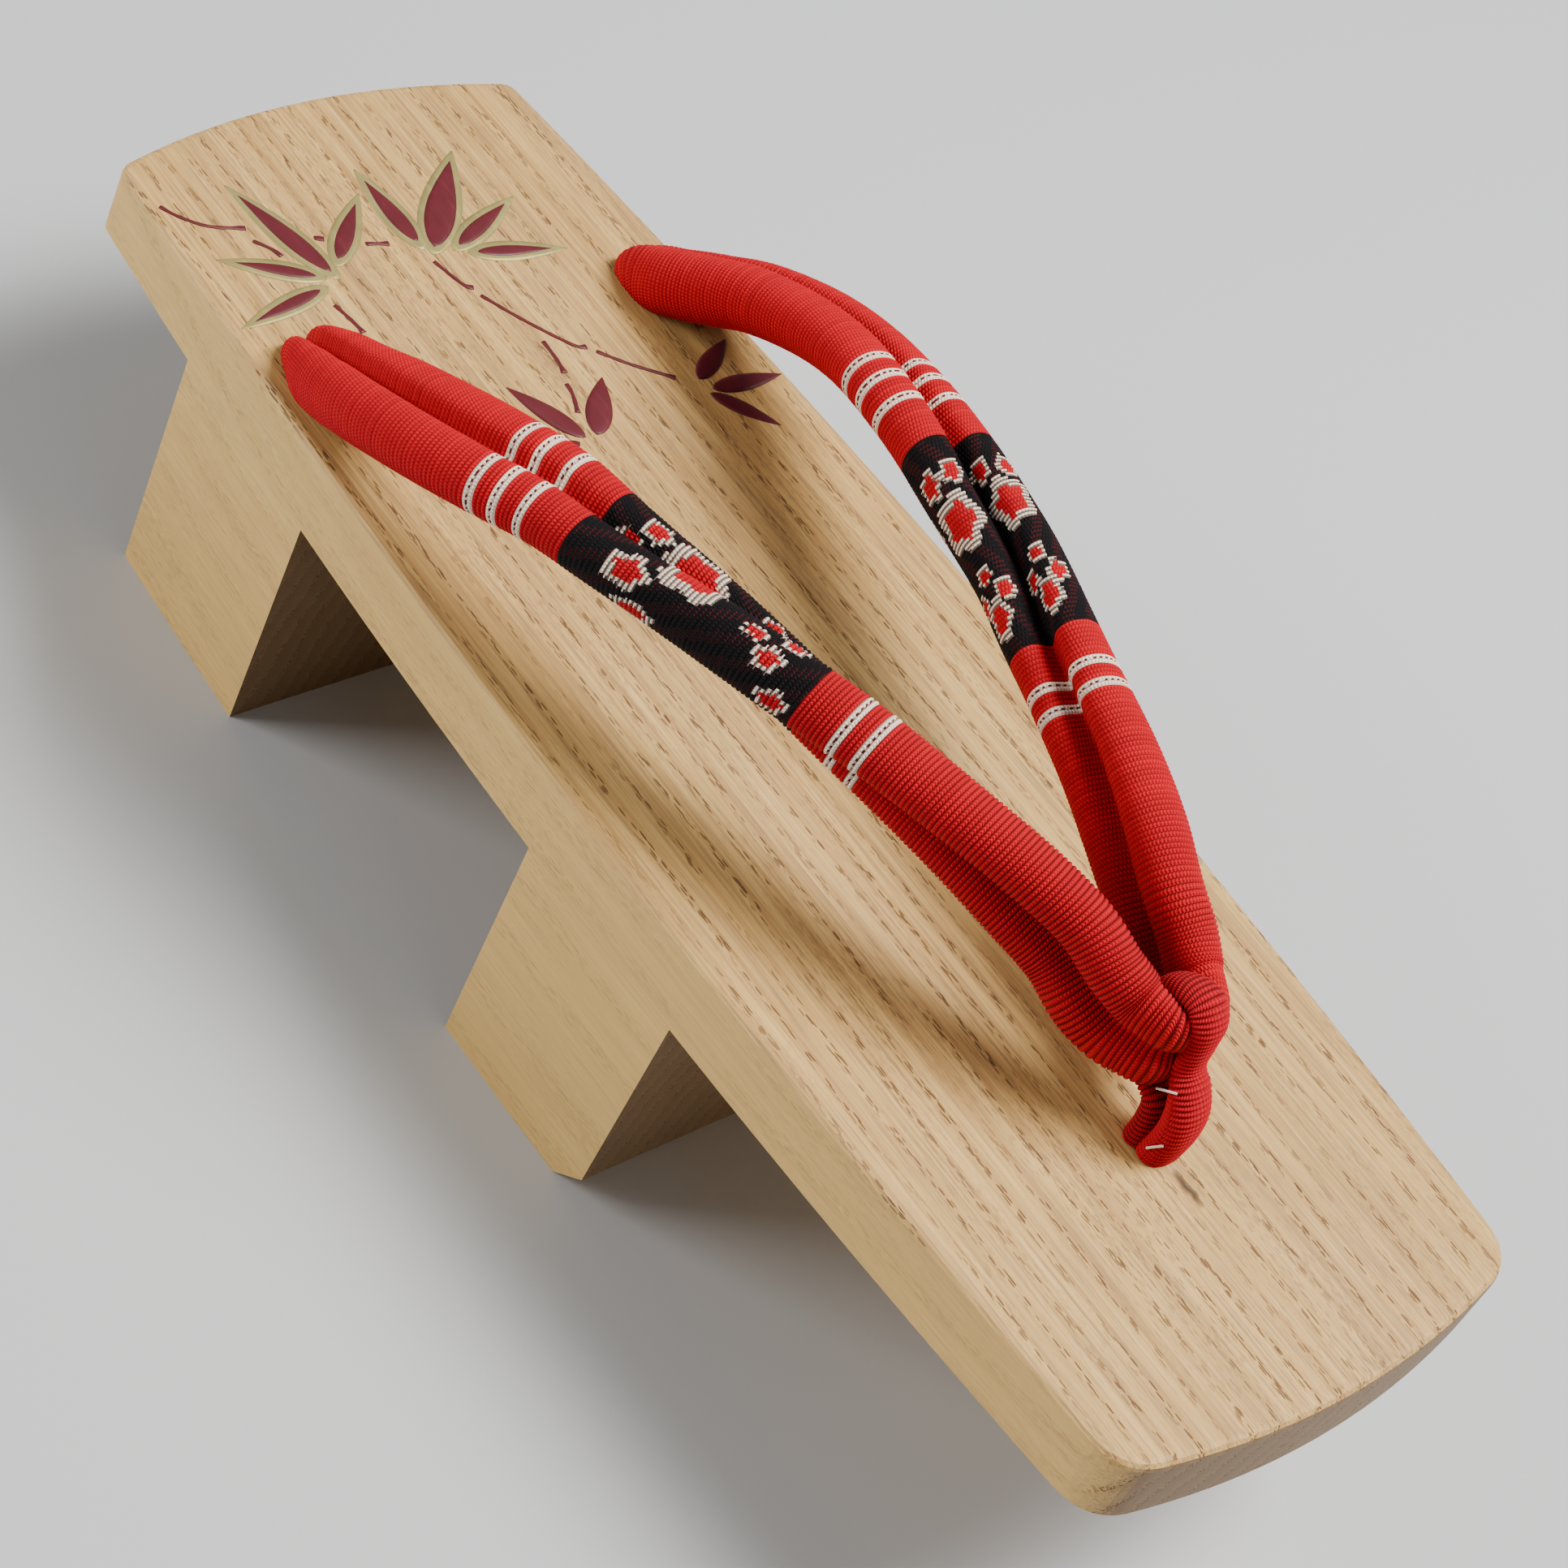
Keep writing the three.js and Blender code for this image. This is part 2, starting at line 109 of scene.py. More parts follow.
# Painted leaves as base x and y, tip x and y, width, and whether gold edges them.
LEAVES = (
    (16.9, -87.6, 21.7, -104.7, 3.4, True), (14.5, -89.5, 5.4, -98.5, 2.6, True),
    (19.5, -87.5, 29.7, -93.2, 2.2, True), (20.5, -85.0, 33.4, -82.3, 2.0, True),
    (0.6, -89.2, 1.2, -102.3, 3.1, True), (-1.2, -87.6, -14.3, -102.3, 4.6, True),
    (-5.2, -86.9, -17.4, -92.3, 2.5, True), (-7.1, -84.9, -19.0, -82.3, 2.2, True),
    (-0.8, -48.8, 4.9, -60.6, 3.6, False), (-2.8, -48.7, -10.5, -57.9, 4.0, False),
    (0.6, -48.3, 11.1, -46.9, 2.8, False), (-25.0, -53.1, -34.4, -58.6, 3.1, False),
    (-25.9, -50.8, -38.6, -50.0, 3.2, False), (-24.9, -50.2, -31.8, -41.4, 2.9, False),
)
STEMS = (
    ((34.1, -105.9), (32.4, -103.3), (29.2, -100.5), (24.1, -98.7)),
    ((24.6, -96.2), (22.9, -94.1), (22.2, -92.3)),
    ((15.4, -94.3), (14.0, -93.6)),
    ((8.5, -91.1), (4.8, -90.1)),
    ((0.5, -85.1), (-1.0, -80.0), (-2.4, -78.8)),
    ((-2.4, -77.2), (-4.9, -72.6), (-7.7, -68.1), (-10.4, -64.4), (-12.2, -63.7)),
    ((-12.9, -62.5), (-16.4, -58.8), (-21.8, -54.2)),
    ((20.2, -81.8), (19.5, -78.6), (19.1, -75.7)),
    ((-6.1, -66.6), (-5.9, -62.9), (-5.4, -60.1)),
    ((-4.4, -58.4), (-4.0, -56.3), (-2.6, -53.1)),
)

WOOD_CLOUD, WOOD_SHADOW, WOOD_GLINT = (0.420, 0.270, 0.130), (0.330, 0.190, 0.075), (0.820, 0.590, 0.260)
WOOD_SPECK, WOOD_CRACK = (0.310, 0.170, 0.072), (0.070, 0.032, 0.012)
WOOD_CUT_RING, WOOD_SIDE = (0.230, 0.145, 0.078), (0.640, 0.415, 0.130)
TREE_HEART = (-0.135, -0.045)  # x and z of the middle of the year rings, in metres
PORE_SCALE = 3000.0
CHECK = (0.0008, 0.0870)  # x and y of the drying check's middle, in metres

PAINT_LIFT, GOLD_LIFT = 0.06, 0.01  # of the edged leaves' paint and of the gold below it
# how far the gold reaches past its leaf at the base, the tip and both sides, and its share of the build
EDGE_BEHIND, EDGE_AHEAD, EDGE_WIDER, EDGE_BUILD = 1.6, 2.6, 1.9, 0.62
STEM_HALF_WIDTH = 0.32
# how much a stem swells at its last and first points, and over what length
JOINT_SWELL, JOINT_LENGTH, START_SWELL, START_LENGTH = 0.17, 1.1, 0.06, 0.9

STRAP_CLEARANCE, LOOP_CLEARANCE = 0.12, 0.10  # from a cover's lowest points to the deck
STITCH_RADIUS = 0.17
CORD_LEAD = 2.0  # how far a cord runs up inside its pad
STRAND_RADIUS, STRAND_OFFSET, STRAND_TWIST = 1.2, 1.15, 0.9  # the twist in radians for a millimetre
KNOT_STRAND, KNOT_SIZE = 1.35, 1.02  # radius of its strand, and its scale

# The studio, in metres. Each light has a name, place, size, share of the key's power and colour.
LIGHTS = (
    ("key_light", (-0.42, 0.30, 0.95), 0.50, 1.00, (1.0, 0.985, 0.96)),
    ("near_fill", (0.72, -0.62, 0.34), 0.50, 0.38, (1.0, 0.985, 0.96)),
    ("toe_fill", (0.10, 1.10, 0.50), 0.80, 0.08, (0.97, 0.985, 1.0)),
)
LIGHT_AIM = (0.0, 0.0, 0.040)
ROOM_COLOUR, ROOM_STRENGTH = (0.93, 0.96, 1.0, 1.0), 0.20
CAMERA_PLACE = (0.3361, 0.2063, 0.4142)
CAMERA_TARGET = (-0.0037, 0.0044, 0.0346)
CAMERA_ROLL = math.radians(28.9)


# ---- settings a user would change -------------------------------------------

def colour(name, description, rgb):
    return bpy.props.FloatVectorProperty(
        name=name, description=description, default=rgb, size=3, min=0.0, max=1.0, subtype="COLOR")


def length(name, description, metres):
    return bpy.props.FloatProperty(
        name=name, description=description, default=metres, min=0.0, precision=5,
        unit="LENGTH", subtype="DISTANCE")


class GetaWood(bpy.types.PropertyGroup):
    ring_width: length("Ring Width", "Thickness of one year's growth", 3.2 * MM)
    light: colour("Light Wood", "Colour of the pale late growth", (0.690, 0.432, 0.138))
    tan: colour("Tan Wood", "Colour of the darker early growth", (0.495, 0.285, 0.084))
    pore: colour("Pores", "Colour inside the open pores", (0.140, 0.060, 0.020))
    # the end grain's colour is as dark as the shade on the tooth fronts: darker wood and painted shade
    end_grain_and_shade: colour("End Grain", "Tint of the wood cut across its fibres", (0.150, 0.090, 0.045))


class GetaSpray(bpy.types.PropertyGroup):
    maroon: colour("Leaf Paint", "Colour of the painted leaves and stems", (0.108, 0.0115, 0.0175))
    gold: colour("Edging Paint", "Colour of the edging round the heel leaves", (0.400, 0.335, 0.120))
    build: length("Paint Build", "How far the paint stands up from the deck", 0.22 * MM)


class GetaStrap(bpy.types.PropertyGroup):
    rib_pitch: length("Rib Pitch", "Distance from one rib to the next", 0.72 * MM)
    rib_height: length("Rib Height", "How far a rib stands above the valley beside it", 0.27 * MM)
    red: colour("Red Thread", "Colour of the ground", (0.560, 0.0002, 0.0090))
    black: colour("Black Thread", "Colour of the ground behind the blossoms", (0.0035, 0.0018, 0.0028))
    cream: colour("Cream Thread", "Colour of the stripes and blossoms", (1.000, 0.780, 0.620))


class GetaLoop(bpy.types.PropertyGroup):
    rib_pitch: length("Rib Pitch", "Distance from one rib to the next", 0.72 * MM)
    red: colour("Red Thread", "Colour of the loop", (0.520, 0.0008, 0.0110))
    cotton: colour("Cord Cotton", "Colour of the cord ends and the sewing thread", (0.70, 0.64, 0.53))


class GetaStudio(bpy.types.PropertyGroup):
    floor: colour("Floor", "Colour of the floor", (0.52, 0.53, 0.54))
    key_power: bpy.props.FloatProperty(
        name="Key Light", description="Power of the main light", default=24.0, min=0.0, unit="POWER")
    lens: bpy.props.FloatProperty(
        name="Lens", description="Focal length of the camera in millimetres", default=92.0, min=1.0)


# ---- shader expressions -----------------------------------------------------

class Signal:
    """A shader socket that can stand in a Python expression."""

    def __init__(self, finish, socket):
        self.finish, self.socket = finish, socket

    def _math(self, operation, a, b):
        return self.finish.node("ShaderNodeMath", {"operation": operation}, {0: a, 1: b})

    def __add__(self, other):
        return self._math("ADD", self, other)

    def __sub__(self, other):
        return self._math("SUBTRACT", self, other)

    def __mul__(self, other):
        return self._math("MULTIPLY", self, other)

    def __truediv__(self, other):
        return self._math("DIVIDE", self, other)

    def __pow__(self, other):
        return self._math("POWER", self, other)

    __radd__ = __add__


class Finish:
    """One material and the nodes that make it."""

    def __init__(self, name):
        self.material = bpy.data.materials.new(name)
        self.material.use_nodes = True
        self.tree = self.material.node_tree
        self.shader = self.tree.nodes["Principled BSDF"]

    def node(self, kind, settings, sockets, out=0):
        made = self.tree.nodes.new(kind)
        for key, value in settings.items():
            if key == "stops":
                ramp = made.color_ramp.elements
                while len(ramp) < len(value):
                    ramp.new(0.5)
                for stop, (place, tone) in zip(ramp, value):
                    stop.position, stop.color = place, (tone, tone, tone, 1.0)
            else:
                setattr(made, key, value)
        for key, value in sockets.items():
            if isinstance(value, Signal):
                self.tree.links.new(value.socket, made.inputs[key])
            else:
                made.inputs[key].default_value = value
        return Signal(self, made.outputs[out])

    def place(self):
        return self.node("ShaderNodeTexCoord", {}, {}, "Object")

    def apart(self, vector, axis):
        return self.node("ShaderNodeSeparateXYZ", {}, {0: vector}, axis)

    def math(self, operation, value):
        return self.node("ShaderNodeMath", {"operation": operation}, {0: value})

    def stretch(self, vector, scales):
        return self.node("ShaderNodeVectorMath", {"operation": "MULTIPLY"}, {0: vector, 1: scales})

    def cells(self, vector, scale):
        return self.node("ShaderNodeTexVoronoi", {"feature": "F1"}, {"Vector": vector, "Scale": scale}, "Distance")

    def vector(self, x, y, z):
        return self.node("ShaderNodeCombineXYZ", {}, {0: x, 1: y, 2: z})

    def noise(self, vector, scale, detail=2.0, rough=0.5):
        return self.node("ShaderNodeTexNoise", {}, {
            "Vector": vector, "Scale": scale, "Detail": detail, "Roughness": rough}, "Fac")

    def ramp(self, value, *stops):
        return self.node("ShaderNodeValToRGB", {"stops": stops}, {0: value})

    def blend(self, share, a, b, kind="MIX"):
        rgba = lambda c: c if isinstance(c, Signal) else (*c, 1.0)
        return self.node("ShaderNodeMix", {"data_type": "RGBA", "blend_type": kind},
                         {0: share, 6: rgba(a), 7: rgba(b)}, 2)

    def feed(self, **sockets):
        for key, value in sockets.items():
            socket = self.shader.inputs[key.replace("_", " ")]
            if isinstance(value, Signal):
                self.tree.links.new(value.socket, socket)
            else:
                socket.default_value = value

    def bump(self, height, strength, distance):
        return self.node("ShaderNodeBump", {}, {
            "Height": height, "Strength": strength, "Distance": distance})


def wood_finish(wood):
    """Planed wood: year rings along the block, open pores, and darker ends."""
    f = Finish("planed_wood")
    place = f.place()
    x, y, z = (f.apart(place, axis) for axis in "XYZ")
    drift = f.stretch(place, (1.0, 0.16, 1.0))
    wander = f.noise(drift, 22.0, 2.0) - 0.5
    ripple = f.noise(drift, 150.0, 2.0) - 0.5
    from_heart_x = x - TREE_HEART[0] + wander * 0.012
    from_heart_z = z - TREE_HEART[1] + ripple * 0.0011
    radius = (from_heart_x * from_heart_x + from_heart_z * from_heart_z) ** 0.5
    ring = radius / wood.ring_width
    year = ring - f.math("FLOOR", ring)
    # pores open at the start of a year's growth and are drawn out along the fibres
    opened = f.cells(f.vector(x, y * 0.15, z), PORE_SCALE)
    early = f.ramp(year, (0.0, 1.0), (0.17, 0.9), (0.30, 0.0), (0.97, 0.0), (1.0, 0.9))
    gathered = f.ramp(f.noise(drift, 240.0, 1.0), (0.28, 0.25), (0.50, 1.0))
    normal = f.node("ShaderNodeNewGeometry", {}, {}, "Normal")
    side = f.math("ABSOLUTE", f.apart(normal, "X"))
    # the sides are cut along the rings, where few pores open
    open_here = f.ramp(side, (0.7, 1.0), (0.95, 0.22))
    pores = f.ramp(opened, (0.33, 1.0), (0.41, 0.0)) * early * gathered * open_here
    fine = f.cells(f.vector(x, y * 0.14, z), PORE_SCALE)
    patchy = f.ramp(f.noise(drift, 130.0, 2.0), (0.42, 0.15), (0.66, 0.9))
    specks = f.ramp(fine, (0.20, 1.0), (0.33, 0.0)) * patchy
    fibre = f.noise(f.vector(x, y * 0.022, z), 2400.0, 3.0, 0.62)
    streak = f.noise(f.vector(x, y * 0.045, z), 420.0, 3.0, 0.6)
    cloud = f.noise(drift, 42.0, 3.0, 0.55)
    line = f.ramp(year, (0.0, 0.75), (0.10, 0.25), (0.55, 0.0), (0.86, 0.25), (1.0, 0.9))
    body = f.blend(f.ramp(streak, (0.28, 0.0), (0.72, 1.0)), wood.light, wood.tan)
    body = f.blend(line * 0.42, body, wood.tan, "MULTIPLY")
    body = f.blend(f.ramp(cloud, (0.46, 0.0), (0.78, 0.45)), body, WOOD_CLOUD)
    body = f.blend(f.ramp(fibre, (0.32, 0.85), (0.52, 0.0)), body, WOOD_SHADOW)
    body = f.blend(f.ramp(fibre, (0.56, 0.0), (0.76, 0.55)), body, WOOD_GLINT)
    # faces cut across the fibres take the dark end-grain colour: darker wood, with painted shade as deep as the
    # shade on the tooth fronts
    across = f.ramp(f.math("ABSOLUTE", f.apart(normal, "Y")), (0.72, 0.0), (0.92, 1.0))
    cut_ring_and_shade = f.blend(f.ramp(year, (0.0, 0.9), (0.5, 0.15), (1.0, 0.0)), wood.end_grain_and_shade, WOOD_CUT_RING)
    body = f.blend(across * 0.88, body, cut_ring_and_shade)
    body = f.blend(f.ramp(side, (0.7, 0.0), (0.95, 0.60)), body, WOOD_SIDE)
    # a short drying check in front of the toe loop
    check_x = (x - CHECK[0] + f.noise(place, 600.0, 1.0) * 0.0009) * 1350.0
    check = f.ramp(check_x * check_x + ((y - CHECK[1]) * 300.0) ** 4.0, (0.0, 1.0), (1.0, 0.0))
    on_top = f.ramp(f.apart(normal, "Z"), (0.9, 0.0), (0.95, 1.0))
    crack = check * on_top
    body = f.blend(specks * open_here * 0.75, body, WOOD_SPECK)
    body = f.blend(pores * 0.95, body, wood.pore)
    body = f.blend(crack, body, WOOD_CRACK)
    depth = fibre * 0.25 - pores * 1.0 - specks * 0.4 - crack * 1.5
    f.feed(Base_Color=body, Roughness=0.50 + fibre * 0.16 + pores * 0.25,
           Normal=f.bump(depth, 0.8, 0.00025), Specular_IOR_Level=0.38)
    return f.material


def cloth_finish(name):
    """Ribbed cloth: coloured by the weave colours, which carry painted shade and highlights on the ribs, with
    beads of thread along each rib and painted shade between the beads.
    """
    f = Finish(name)
    thread = f.node("ShaderNodeVertexColor", {"layer_name": "weave"}, {})
    lie = f.node("ShaderNodeUVMap", {"uv_map": "lie"}, {})
    along, around = f.apart(lie, "X"), f.apart(lie, "Y")
    rib = f.math("FLOOR", along)
    beads = f.math("SINE", around * 12.5 + rib * 2.1 + along * 2.4)
    hair = f.noise(f.vector(along * 6.0, around * 1.3, 0.0), 3.0, 3.0, 0.65)
    shade = f.ramp(hair, (0.25, 0.70), (0.75, 1.0))
    tone = f.blend(1.0, thread, shade, "MULTIPLY")
    # painted shade between the beads of thread, darker where the bump is low
    tone = f.blend(1.0, tone, f.ramp(beads * 0.5 + 0.5, (0.05, 0.66), (0.5, 1.0)), "MULTIPLY")
    f.feed(Base_Color=tone, Roughness=0.66 + hair * 0.2, Specular_IOR_Level=0.14,
           Sheen_Weight=0.02, Sheen_Roughness=0.4,
           Normal=f.bump(beads * 0.8 + hair, 0.55, 0.00014))
    return f.material


def paint_finish(name, tone, metal, rough, coat):
    """Brushed paint that lets a little of the grain through."""
    f = Finish(name)
    place = f.place()
    grain = f.noise(f.stretch(place, (1.0, 0.15, 1.0)), 900.0, 3.0)
    patch = f.noise(place, 240.0, 2.0)
    shade = f.blend(f.ramp(patch, (0.35, 0.0), (0.7, 0.5)), tone, [c * 0.66 for c in tone])
    shade = f.blend(f.ramp(grain, (0.55, 0.0), (0.8, 0.35)), shade, [min(1.0, c * 1.7) for c in tone])
    f.feed(Base_Color=shade, Metallic=metal, Roughness=rough + grain * 0.18, Specular_IOR_Level=0.32,
           Coat_Weight=coat, Coat_Roughness=0.25, Normal=f.bump(grain + patch, 0.35, 0.00012))
    return f.material


def cotton_finish(name, tone):
    f = Finish(name)
    hair = f.noise(f.place(), 2600.0, 3.0, 0.6)
    shade = f.blend(hair, [c * 0.7 for c in tone], tone)
    f.feed(Base_Color=shade, Roughness=0.85, Sheen_Weight=0.2, Normal=f.bump(hair, 0.6, 0.0002))
    return f.material


def floor_finish(tone):
    f = Finish("plain_floor")
    mottle = f.noise(f.place(), 3.0, 2.0)
    f.feed(Base_Color=f.blend(mottle, tone, [min(1.0, c * 1.03) for c in tone]), Roughness=0.75,
           Specular_IOR_Level=0.2)
    return f.material


# ---- mesh helpers -----------------------------------------------------------

def clear_selection():
    if bpy.context.object and bpy.context.object.mode != "OBJECT":
        bpy.ops.object.mode_set(mode="OBJECT")
    bpy.ops.object.select_all(action="DESELECT")


def take_up(obj):
    """Select one object alone and make it active."""
    clear_selection()
    obj.select_set(True)
    bpy.context.view_layer.objects.active = obj


def settle(obj):
    """Put a finished piece's place into its mesh."""
    take_up(obj)
    bpy.ops.object.transform_apply(location=True, rotation=True, scale=True)


def hand_over(obj, material, slot, *replaced):
    """Give a piece its material and its body, and hide the carved pieces it stands for; slot is not used."""
    obj.data.materials.clear()
    obj.data.materials.append(material)
    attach(obj, "root")
    if replaced:
        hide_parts(*replaced)
    return obj


def skin(name, rings):
    """A tube with closed ends over rings, an array of (ring, point, xyz) in millimetres."""
    count, sides = rings.shape[:2]
    points = rings.reshape(-1, 3)
    ring, side = np.meshgrid(np.arange(count - 1), np.arange(sides), indexing="ij")
    following = (side + 1) % sides
    faces = np.stack([ring * sides + side, ring * sides + following,
                      (ring + 1) * sides + following, (ring + 1) * sides + side], -1).reshape(-1, 4)
    faces = faces.tolist()
    points = np.vstack([points, rings[0].mean(0), rings[-1].mean(0)])
    first, last, start = len(points) - 2, len(points) - 1, (count - 1) * sides
    faces += [[first, (i + 1) % sides, i] for i in range(sides)]
    faces += [[last, start + i, start + (i + 1) % sides] for i in range(sides)]
    mesh = bpy.data.meshes.new(name)
    mesh.from_pydata((points * MM).tolist(), [], faces)
    work = bmesh.new()
    work.from_mesh(mesh)
    if work.calc_volume(signed=True) < 0:
        bmesh.ops.reverse_faces(work, faces=work.faces)
    work.to_mesh(mesh)
    work.free()
    obj = bpy.data.objects.new(name, mesh)
    bpy.context.collection.objects.link(obj)
    mesh.shade_smooth()
    return obj


def through(points, where):
    """Smooth curve through points, read at places from 0 (the first) to 1 (the last)."""
    points = np.asarray(points, float)
    held = np.vstack([2 * points[0] - points[1], points, 2 * points[-1] - points[-2]])
    t = np.clip(np.asarray(where, float), 0, 1) * (len(points) - 1)
    i = np.minimum(t.astype(int), len(points) - 2)
    w = (t - i)[:, None]
    a, b, c, d = held[i], held[i + 1], held[i + 2], held[i + 3]
    return 0.5 * (2 * b + (c - a) * w + (2 * a - 5 * b + 4 * c - d) * w ** 2
                  + (3 * b - a - 3 * c + d) * w ** 3)


def even_places(points, step):
    """Places along the smooth curve a step apart, with the distance to each."""
    where = np.linspace(0, 1, 6000)
    walk = through(points, where)
    run = np.concatenate([[0], np.cumsum(np.linalg.norm(np.diff(walk, axis=0), axis=1))])
    marks = np.arange(0, run[-1], step)
    return np.interp(marks, run, where), marks


def unit(vectors):
    return vectors / np.linalg.norm(vectors, axis=-1, keepdims=True)


def rope(name, path, radius, sides=10):
    """A round tube along a path of points in millimetres."""
    path = np.asarray(path, float)
    tangent = unit(np.gradient(path, axis=0))
    guide = unit(np.cross(tangent[0], [0.3, 0.9, 0.2]))
    rings = []
    for point, along in zip(path, tangent):
        guide = unit(guide - along * np.dot(guide, along))
        third = np.cross(along, guide)
        angle = np.linspace(0, 2 * np.pi, sides, endpoint=False)[:, None]
        rings.append(point + radius * (np.cos(angle) * guide + np.sin(angle) * third))
    return skin(name, np.array(rings))


def join_as(name, parts):
    take_up(parts[0])
    for part in parts:
        part.select_set(True)
    bpy.ops.object.join()
    joined = bpy.context.object
    joined.name = joined.data.name = name
    return joined


# ---- strap ------------------------------------------------------------------

RIB_RINGS = 4
RIB_PAINTED_LIGHT = np.array([0.36, 1.0, 1.25, 1.0])  # painted shade in the valley and a painted highlight on the crown, from the valley over the crown of a rib
ROLL_COLUMNS, LOOP_COLUMNS = 46, 44
LOOP_RIB_HEIGHT = 0.32
GROOVE_WIDTH, GROOVE_DEPTH = 1.1, 0.42
MOOD_HEIGHT, MOOD_SHADE = 0.10, 0.05  # how much ribs differ from each other
DASH = 0.55  # length of the red dashes between the two ribs of a stripe
# ground thread that shows between the ribs of the other two
RED_UNDER_BLACK, RED_UNDER_CREAM = (0.055, 0.004, 0.006), (0.16, 0.022, 0.022)
# y of the white stripes' middles and of the black ground's ends, before each arm's own lag
MARKS = {"rear_stripes": (-30.6, -26.8, -22.9), "black": (-15.6, 19.4), "front_stripes": (25.0, 28.6)}
ARM_LAG = 2.4  # how much nearer the heel they lie on the right arm, and nearer the toe on the left
GROUND_LAG = {1: 0.0, -1: 1.2}  # the left arm's black ground starts a little further on


def rib_rise(ribs):
    """How a rib's round back stands about the cover's mean surface, as a share of its height."""
    return np.abs(np.sin(np.pi * ribs)) ** 0.7 - 0.75


def blossom(rows, across, size_rows, size_across, turn):
    """0 outside, 1 on the cream petals, 2 on the red middle."""
    reach = np.hypot(rows / size_rows, across / size_across)
    petal = 1 + 0.13 * np.cos(5 * np.arctan2(across / size_across, rows / size_rows) + turn)
    shape = np.where(reach < petal, 1, 0)
    return np.where(reach < 0.62 * petal, 2, shape)


# Woven blossoms: roll (0 outer, 1 inner), rib from the black ground's rear end, mm round the
# roll from its upper groove, half size in ribs and in mm, and the turn of its petals.
BLOSSOMS = {
    1: (
        (1, 9.5, 3.8, 3.4, 1.6, 0.4), (1, 5.8, 1.2, 2.8, 0.9, 2.0), (1, 19.5, 2.4, 6.6, 3.3, 1.1),
        (1, 36.2, 3.0, 2.6, 1.4, 0.0), (1, 12.0, 9.4, 4.0, 2.4, 0.8), (1, 34.0, 9.6, 4.0, 2.2, 2.6),
        (1, 21.0, 14.0, 5.0, 2.6, 1.6), (0, 11.5, 8.4, 4.2, 2.5, 0.6), (0, 15.4, 13.6, 5.0, 1.7, 1.2),
        (0, 22.0, 3.4, 7.0, 4.7, 1.1), (0, 36.2, 7.4, 2.4, 1.1, 0.3), (0, 40.4, 9.7, 2.8, 1.7, 1.9),
        (0, 42.6, 6.0, 2.6, 1.3, 0.9), (0, 45.0, 14.6, 3.6, 1.8, 1.5),
    ),
    -1: (
        (1, 8.2, 5.2, 3.0, 1.7, 0.4), (1, 9.0, 9.0, 3.2, 2.0, 2.0), (1, 18.8, 7.2, 6.2, 3.7, 1.1),
        (1, 31.5, 7.0, 2.2, 1.4, 0.0), (1, 36.0, 4.6, 2.4, 1.7, 0.8), (1, 36.5, 9.4, 2.6, 1.6, 2.6),
        (1, 41.0, 6.9, 4.4, 2.1, 1.6), (1, 16.0, 14.4, 4.6, 2.2, 0.4), (0, 8.4, 2.0, 3.0, 1.6, 0.9),
        (0, 9.4, 6.2, 3.2, 1.8, 1.6), (0, 18.2, 4.2, 6.0, 3.5, 2.2), (0, 31.5, 4.2, 2.2, 1.4, 1.2),
        (0, 36.0, 1.9, 2.4, 1.6, 0.2), (0, 36.5, 6.6, 2.6, 1.7, 1.4), (0, 41.0, 4.4, 4.2, 2.0, 0.5),
        (0, 14.0, 13.4, 5.0, 2.4, 1.1), (0, 36.0, 14.0, 4.0, 2.2, 2.4),
    ),
}


def blossom_chart(side, roll, rows, around):
    """Every blossom of one arm over its faces, numbered as in blossom."""
    chart = np.zeros(np.broadcast(rows, around).shape, int)
    for home, row, lap, size_rows, size_across, turn in BLOSSOMS[side]:
        drawn = blossom(rows - row, around - lap, size_rows, size_across, turn)
        chart = np.where((drawn > 0) & (roll == home), drawn, chart)
    return chart


def arm_curve(side):
    """Places, sizes and turns of one arm's sections, from the rear hole to its closed front end."""
    places = [(side * x, y, DECK_TOP + rise) for x, y, rise, *_ in ARM]
    sizes = [(width, thick, share) for _, _, _, width, thick, share, _, _ in ARM]
    turns = [(right if side > 0 else left, 0, 0) for *_, right, left in ARM]
    for x, y, rise, width, thick in ARM_ENDS:
        places.append((side * x, y, DECK_TOP + rise))
        sizes.append((width, thick, END_SHARE))
        turns.append((90, 0, 0))
    return places, sizes, turns


def padded_roll(lobe, centre, across, level, half, offset, tall, stand):
    """The skin of one roll, open at the groove, and how far round it each point lies."""
    half, offset, tall, stand = half[:, None], offset[:, None], tall[:, None], stand[:, None]
    reach = np.arccos(np.clip(-offset / half, -1, 0))
    angle = reach * ((np.arange(ROLL_COLUMNS) + 0.5) / ROLL_COLUMNS * 2 - 1)
    flat, height = half * np.cos(angle), tall * np.sin(angle)
    normal = unit(np.stack([np.cos(angle) / half, np.sin(angle) / tall], -1))
    away = offset + flat
    # the rolls are sewn together along the groove, which draws the cloth in
    groove = np.exp(-(away / GROOVE_WIDTH) ** 2) * GROOVE_DEPTH
    away = away + normal[..., 0] * stand
    height = height * (1 - groove) + normal[..., 1] * stand
    points = centre[:, None] + lobe * (away[..., None] * across[:, None] + height[..., None] * level[:, None])
    steps = np.hypot(np.gradient(flat, axis=1), np.gradient(height, axis=1))
    return points, np.cumsum(steps, axis=1)


